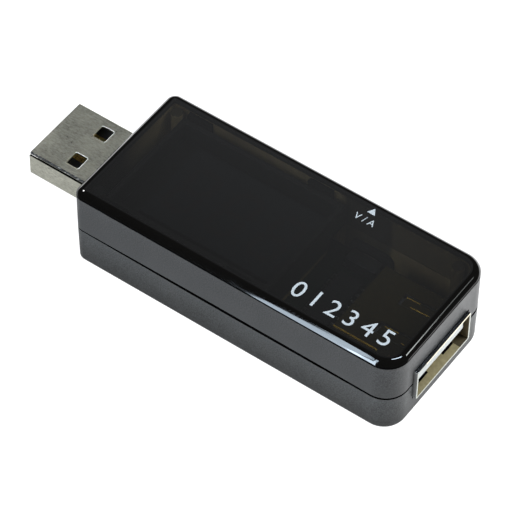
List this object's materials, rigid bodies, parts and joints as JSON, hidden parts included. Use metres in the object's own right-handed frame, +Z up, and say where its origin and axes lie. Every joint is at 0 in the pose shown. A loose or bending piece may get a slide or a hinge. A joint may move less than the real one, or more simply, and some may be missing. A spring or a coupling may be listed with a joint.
{
  "type": "usb power meter",
  "caption": "Small in-line power meter: a smoked two-part case with a digit display, a USB-A plug at one end, a USB-A socket at the other and a push button on one side.",
  "frame": {"origin": "middle of the case's flat underside", "axes": "+X from the plug to the socket, +Y towards the button's side, +Z up"},
  "size_m": [0.0671, 0.0241, 0.0147],
  "materials": {
    "smoked_black": "smoked clear plastic, polished top and edge, fine satin texture on the sides",
    "satin_black": "fine spark-eroded satin texture",
    "plated_steel": "nickel-plated folded sheet, lightly brushed",
    "black_plastic": "moulded",
    "contact_gold": "gold-flashed strip",
    "white_plastic": "moulded",
    "circuit_board": "green solder mask on glass-fibre laminate",
    "display_black": "printed black face",
    "segment_resin": "diffusing resin, unlit",
    "display_board": "bare laminate",
    "tin": "tinned",
    "chip_black": "moulded",
    "capacitor_yellow": "moulded",
    "ceramic_tan": "fired ceramic"
  },
  "bodies": {
    "case": {"lower_shell": "satin_black", "upper_shell": "smoked_black", "plug_shell": "plated_steel", "plug_insulator": "black_plastic", "plug_contacts": "contact_gold", "receptacle_shell": "plated_steel", "receptacle_insulator": "white_plastic", "receptacle_contacts": "contact_gold", "main_board": "circuit_board", "display_frame": "black_plastic", "display_body": "display_black", "display_segments": "segment_resin", "display_board": "display_board", "display_pins": "tin", "meter_chip": "chip_black", "meter_chip_leads": "tin", "shunt_resistor": "chip_black", "regulator": "chip_black", "regulator_leads": "tin", "bulk_capacitor": "capacitor_yellow", "chip_capacitors": "ceramic_tan", "chip_resistors": "chip_black", "switch_base": "black_plastic", "switch_cover": "plated_steel", "switch_dome": "plated_steel", "switch_terminals": "tin"},
    "button": {"button_cap": "satin_black"},
    "plunger": {"switch_plunger": "white_plastic"}
  },
  "joints": [
    {"name": "button_press", "type": "slide", "parent": "case", "child": "button", "axis": [0, -1, 0], "range_m": [0, 0.00025], "stiffness_N_per_m": 6000, "deforming": ["switch_dome"]},
    {"name": "plunger_press", "type": "slide", "parent": "case", "child": "plunger", "axis": [0, -1, 0], "range_m": [0, 0.00025], "deforming": ["switch_dome"]}
  ],
  "couplings": [
    {"joint": "plunger_press", "follows": "button_press", "ratio": 1}
  ]
}
